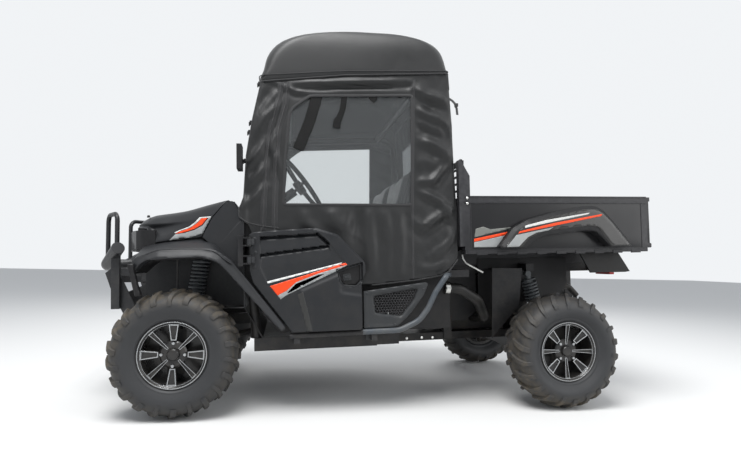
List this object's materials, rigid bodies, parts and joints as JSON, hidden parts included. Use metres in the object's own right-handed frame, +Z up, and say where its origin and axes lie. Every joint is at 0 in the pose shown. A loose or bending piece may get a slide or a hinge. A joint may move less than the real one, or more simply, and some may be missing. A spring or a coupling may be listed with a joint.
{
  "type": "side by side utility vehicle",
  "caption": "Off-road utility vehicle with a soft cab, half doors, a tipping load bed, a front guard and knobbly tyres on alloy wheels",
  "frame": {"origin": "on the ground, under the middle of the overall length and width", "axes": "+X forward, +Y to the vehicle's left, +Z up"},
  "size_m": [3.1296, 1.58, 2.0506],
  "materials": {
    "frame_steel": "matt black paint",
    "guard_steel": "satin black powder coat",
    "bed_steel": "satin black paint",
    "arm_steel": "black paint with dust",
    "spring_steel": "dark grey coil over",
    "exhaust_steel": "heat-stained steel",
    "engine_casting": "rough casting",
    "body_plastic": "moulded black plastic",
    "flare_plastic": "grained dark grey plastic",
    "black_plastic": "grained black plastic",
    "grille_plastic": "gloss black plastic",
    "lamp_lens": "smoked lens",
    "tail_lens": "red lens",
    "cab_fabric": "coated woven black cloth",
    "clear_vinyl": "clear flexible window",
    "seat_vinyl": "grained black seat cover",
    "hose_rubber": "black rubber",
    "wheel_rubber": "soft black grip",
    "rim_alloy": "machined alloy painted black",
    "tyre_rubber": "black rubber with dry mud"
  },
  "bodies": {
    "chassis": {"frame_rails": "frame_steel", "skid_plate": "black_plastic", "floor_tub": "black_plastic", "roll_cage": "frame_steel", "cowl": "body_plastic", "front_fenders": "body_plastic", "grille": "grille_plastic", "headlights": "lamp_lens", "door_hinges": "frame_steel", "front_guard": "guard_steel", "side_panels": "body_plastic", "sill_guards": "guard_steel", "roof_cap": "cab_fabric", "side_curtains": "cab_fabric", "end_curtains": "cab_fabric", "cab_windows": "clear_vinyl", "seats": "seat_vinyl", "dashboard": "black_plastic", "steering_column": "black_plastic", "mirrors": "black_plastic", "engine_block": "engine_casting", "gearboxes": "engine_casting", "muffler": "exhaust_steel", "intake_duct": "hose_rubber", "heat_shield": "frame_steel", "hitch_receiver": "frame_steel", "tail_lamps": "tail_lens", "suspension_arms": "arm_steel", "coil_overs": "spring_steel", "half_shafts": "arm_steel", "rear_uprights": "engine_casting", "steering_rack": "engine_casting"},
    "hood": {"hood": "body_plastic"},
    "door_left": {"door_left": "body_plastic"},
    "door_right": {"door_right": "body_plastic"},
    "bed": {"bed_tub": "bed_steel", "bed_flares": "flare_plastic", "mud_guards": "hose_rubber"},
    "tailgate": {"tailgate": "bed_steel"},
    "steering_wheel": {"steering_wheel": "wheel_rubber"},
    "knuckle_left": {"knuckle_left": "engine_casting"},
    "knuckle_right": {"knuckle_right": "engine_casting"},
    "tie_rod_left": {"tie_rod_left": "arm_steel"},
    "tie_rod_right": {"tie_rod_right": "arm_steel"},
    "wheel_front_left": {"rim_front_left": "rim_alloy", "tyre_front_left": "tyre_rubber"},
    "wheel_front_right": {"rim_front_right": "rim_alloy", "tyre_front_right": "tyre_rubber"},
    "wheel_rear_left": {"rim_rear_left": "rim_alloy", "tyre_rear_left": "tyre_rubber"},
    "wheel_rear_right": {"rim_rear_right": "rim_alloy", "tyre_rear_right": "tyre_rubber"}
  },
  "joints": [
    {"name": "steer_left", "type": "hinge", "parent": "chassis", "child": "knuckle_left", "pos_m": [1.0825, 0.548, 0.322], "axis": [0, 0, 1], "range_deg": [-28, 28]},
    {"name": "tie_rod_left", "type": "hinge", "parent": "knuckle_left", "child": "tie_rod_left", "pos_m": [0.9865, 0.542, 0.354], "axis": [0, 0, 1], "range_deg": [-28, 28]},
    {"name": "spin_front_left", "type": "hinge", "parent": "knuckle_left", "child": "wheel_front_left", "pos_m": [1.0825, 0.64, 0.3175], "axis": [0, 1, 0], "continuous": true},
    {"name": "spin_rear_left", "type": "hinge", "parent": "chassis", "child": "wheel_rear_left", "pos_m": [-1.0025, 0.64, 0.3175], "axis": [0, 1, 0], "continuous": true},
    {"name": "steer_right", "type": "hinge", "parent": "chassis", "child": "knuckle_right", "pos_m": [1.0825, -0.548, 0.322], "axis": [0, 0, 1], "range_deg": [-28, 28]},
    {"name": "tie_rod_right", "type": "hinge", "parent": "knuckle_right", "child": "tie_rod_right", "pos_m": [0.9865, -0.542, 0.354], "axis": [0, 0, 1], "range_deg": [-28, 28]},
    {"name": "spin_front_right", "type": "hinge", "parent": "knuckle_right", "child": "wheel_front_right", "pos_m": [1.0825, -0.64, 0.3175], "axis": [0, 1, 0], "continuous": true},
    {"name": "spin_rear_right", "type": "hinge", "parent": "chassis", "child": "wheel_rear_right", "pos_m": [-1.0025, -0.64, 0.3175], "axis": [0, 1, 0], "continuous": true},
    {"name": "steering_wheel_turn", "type": "hinge", "parent": "chassis", "child": "steering_wheel", "pos_m": [0.46698, 0.33, 1.23199], "axis": [-0.7815, 0, 0.6239], "range_deg": [-336, 336]},
    {"name": "door_left_swing", "type": "hinge", "parent": "chassis", "child": "door_left", "pos_m": [0.73649, 0.737, 0.81584], "axis": [-0.0401, 0, -0.9992], "range_deg": [0, 72]},
    {"name": "door_right_swing", "type": "hinge", "parent": "chassis", "child": "door_right", "pos_m": [0.73649, -0.737, 0.81584], "axis": [0.0401, 0, 0.9992], "range_deg": [0, 72]},
    {"name": "hood_lift", "type": "hinge", "parent": "chassis", "child": "hood", "pos_m": [0.84593, 0, 1.09868], "axis": [0, -1, 0], "range_deg": [0, 50]},
    {"name": "bed_tip", "type": "hinge", "parent": "chassis", "child": "bed", "pos_m": [-1.41853, 0, 0.88338], "axis": [0, -1, 0], "range_deg": [0, 42]},
    {"name": "tailgate_swing", "type": "hinge", "parent": "bed", "child": "tailgate", "pos_m": [-1.54099, 0, 0.92433], "axis": [0, -1, 0], "range_deg": [0, 90]}
  ],
  "couplings": [
    {"joint": "steer_right", "follows": "steer_left", "ratio": 1},
    {"joint": "tie_rod_left", "follows": "steer_left", "ratio": -1},
    {"joint": "tie_rod_right", "follows": "steer_left", "ratio": -1},
    {"joint": "steering_wheel_turn", "follows": "steer_left", "ratio": 12}
  ]
}
